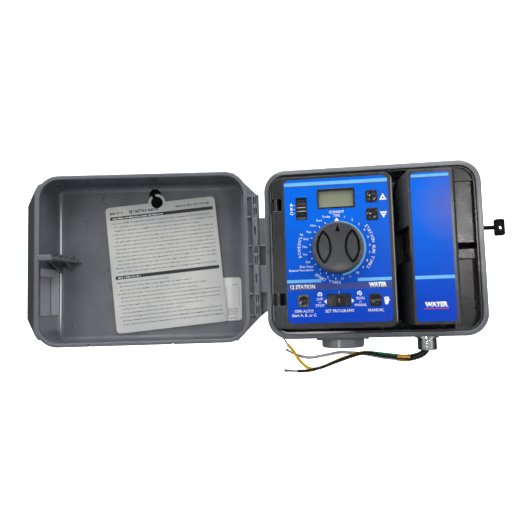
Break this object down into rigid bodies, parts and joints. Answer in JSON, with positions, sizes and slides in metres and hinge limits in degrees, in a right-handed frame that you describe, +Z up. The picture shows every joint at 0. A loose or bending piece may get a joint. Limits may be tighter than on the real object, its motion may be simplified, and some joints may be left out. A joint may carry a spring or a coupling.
{
  "type": "irrigation controller",
  "caption": "Wall cabinet with a hinged door, a swing-out control panel with a dial, keys and display, a covered transformer, a side key lock and wiring ports below.",
  "frame": {"origin": "centre of the flat back face that lies on the wall", "axes": "+Z up, -Y out of the wall towards the user, +X to the user's right"},
  "size_m": [0.5539, 0.1164, 0.2408],
  "materials": {
    "base_cabinet": "moulded gray, lightly textured",
    "door": "moulded gray, lightly textured",
    "door_hinge_pin": "plain pin",
    "lock_body": "plated casting",
    "lock_nut": "zinc plated",
    "lock_plug": "machined",
    "lock_crank": "pressed",
    "lock_bolt": "pressed",
    "key": "black moulded",
    "card_hook": "black moulded",
    "reference_card": "printed white card",
    "wiring_label": "printed white label",
    "chassis": "black textured",
    "chassis_screws": "zinc plated",
    "panel_hinge_pins": "bright pin",
    "panel_bezel": "black textured",
    "panel_back": "black textured",
    "panel_back_screws": "zinc plated",
    "panel_overlay": "printed blue film",
    "lcd_frame": "black",
    "lcd_window": "clear",
    "lcd_panel": "olive reflective display",
    "main_board": "green circuit board",
    "board_screws": "zinc plated",
    "dial_knob": "black textured",
    "rotary_shaft": "turned",
    "rotary_switch": "moulded",
    "plus_button": "black gloss",
    "minus_button": "black gloss",
    "semi_auto_button": "black gloss",
    "manual_button": "black gloss",
    "tact_switches": "pressed can",
    "program_slider": "black",
    "program_switch": "pressed can",
    "function_slider": "black ribbed",
    "function_switch": "pressed can",
    "control_chip": "moulded",
    "capacitors": "sleeved",
    "battery": "plain sleeve",
    "battery_snap": "moulded",
    "battery_door": "black textured",
    "panel_header": "moulded",
    "ribbon_cable": "gray ribbon",
    "terminal_board": "green circuit board",
    "terminal_block": "green moulded",
    "terminal_screws": "zinc plated",
    "terminal_header": "moulded",
    "transformer_core": "stacked laminations",
    "transformer_coil": "taped winding",
    "transformer_screws": "zinc plated",
    "transformer_cover": "black textured",
    "cover_overlay": "printed blue film",
    "conduit_hub": "moulded gray",
    "hub_locknut": "moulded",
    "conduit_nipple": "zinc plated steel",
    "nipple_locknut": "zinc plated",
    "cable_sleeve": "black sleeve",
    "hot_wire": "black insulation",
    "neutral_wire": "white insulation",
    "ground_wire": "green and yellow insulation"
  },
  "bodies": {
    "cabinet": {"base_cabinet": "base_cabinet", "door_hinge_pin": "door_hinge_pin", "lock_body": "lock_body", "lock_nut": "lock_nut", "chassis": "chassis", "chassis_screws": "chassis_screws", "terminal_board": "terminal_board", "terminal_block": "terminal_block", "terminal_screws": "terminal_screws", "terminal_header": "terminal_header", "ribbon_cable": "ribbon_cable", "transformer_core": "transformer_core", "transformer_coil": "transformer_coil", "transformer_screws": "transformer_screws", "transformer_cover": "transformer_cover", "cover_overlay": "cover_overlay", "conduit_hub": "conduit_hub", "hub_locknut": "hub_locknut", "conduit_nipple": "conduit_nipple", "nipple_locknut": "nipple_locknut", "cable_sleeve": "cable_sleeve", "hot_wire": "hot_wire", "neutral_wire": "neutral_wire", "ground_wire": "ground_wire"},
    "door": {"door": "door", "card_hook": "card_hook", "wiring_label": "wiring_label"},
    "card": {"reference_card": "reference_card"},
    "lock_plug": {"lock_plug": "lock_plug", "lock_crank": "lock_crank"},
    "lock_bolt": {"lock_bolt": "lock_bolt"},
    "key": {"key": "key"},
    "panel": {"panel_hinge_pins": "panel_hinge_pins", "panel_bezel": "panel_bezel", "panel_back": "panel_back", "panel_back_screws": "panel_back_screws", "panel_overlay": "panel_overlay", "lcd_frame": "lcd_frame", "lcd_window": "lcd_window", "lcd_panel": "lcd_panel", "main_board": "main_board", "board_screws": "board_screws", "rotary_switch": "rotary_switch", "tact_switches": "tact_switches", "program_switch": "program_switch", "function_switch": "function_switch", "control_chip": "control_chip", "capacitors": "capacitors", "battery": "battery", "battery_snap": "battery_snap", "panel_header": "panel_header"},
    "dial": {"dial_knob": "dial_knob", "rotary_shaft": "rotary_shaft"},
    "plus_button": {"plus_button": "plus_button"},
    "minus_button": {"minus_button": "minus_button"},
    "semi_auto_button": {"semi_auto_button": "semi_auto_button"},
    "manual_button": {"manual_button": "manual_button"},
    "program_slider": {"program_slider": "program_slider"},
    "function_slider": {"function_slider": "function_slider"},
    "battery_door": {"battery_door": "battery_door"}
  },
  "joints": [
    {"name": "door_swing", "type": "hinge", "parent": "cabinet", "child": "door", "pos_m": [-0.1338, -0.06, 0], "axis": [0, 0, 1], "range_deg": [-7.4, 172.58]},
    {"name": "card_swing", "type": "hinge", "parent": "door", "child": "card", "pos_m": [-0.26323, -0.03244, 0.0749], "axis": [0.1288, -0.9917, 0], "range_deg": [-3, 3]},
    {"name": "lock_turn", "type": "hinge", "parent": "cabinet", "child": "lock_plug", "pos_m": [0.114, -0.041, 0.0225], "axis": [-1, 0, 0], "range_deg": [0, 90]},
    {"name": "bolt_slide", "type": "slide", "parent": "cabinet", "child": "lock_bolt", "axis": [0, 0, -1], "range_m": [0, 0.008]},
    {"name": "key_pull", "type": "slide", "parent": "lock_plug", "child": "key", "axis": [1, 0, 0], "range_m": [0, 0.03]},
    {"name": "panel_swing", "type": "hinge", "parent": "cabinet", "child": "panel", "pos_m": [-0.108, -0.07, 0], "axis": [0, 0, 1], "range_deg": [-100, 0], "deforming": ["ribbon_cable"]},
    {"name": "dial_turn", "type": "hinge", "parent": "panel", "child": "dial", "pos_m": [-0.0395, -0.085, 0.0026], "axis": [0, 1, 0], "continuous": true},
    {"name": "plus_press", "type": "slide", "parent": "panel", "child": "plus_button", "axis": [0, 1, 0], "range_m": [0, 0.001]},
    {"name": "minus_press", "type": "slide", "parent": "panel", "child": "minus_button", "axis": [0, 1, 0], "range_m": [0, 0.001]},
    {"name": "semi_auto_press", "type": "slide", "parent": "panel", "child": "semi_auto_button", "axis": [0, 1, 0], "range_m": [0, 0.001]},
    {"name": "manual_press", "type": "slide", "parent": "panel", "child": "manual_button", "axis": [0, 1, 0], "range_m": [0, 0.001]},
    {"name": "program_slide", "type": "slide", "parent": "panel", "child": "program_slider", "axis": [0, 0, 1], "range_m": [-0.0048, 0.0048]},
    {"name": "function_slide", "type": "slide", "parent": "panel", "child": "function_slider", "axis": [1, 0, 0], "range_m": [-0.0065, 0.0065]},
    {"name": "battery_door_slide", "type": "slide", "parent": "panel", "child": "battery_door", "axis": [1, 0, 0], "range_m": [0, 0.03]}
  ],
  "couplings": [
    {"joint": "bolt_slide", "follows": "lock_turn", "m_per_rad": 0.005093}
  ]
}
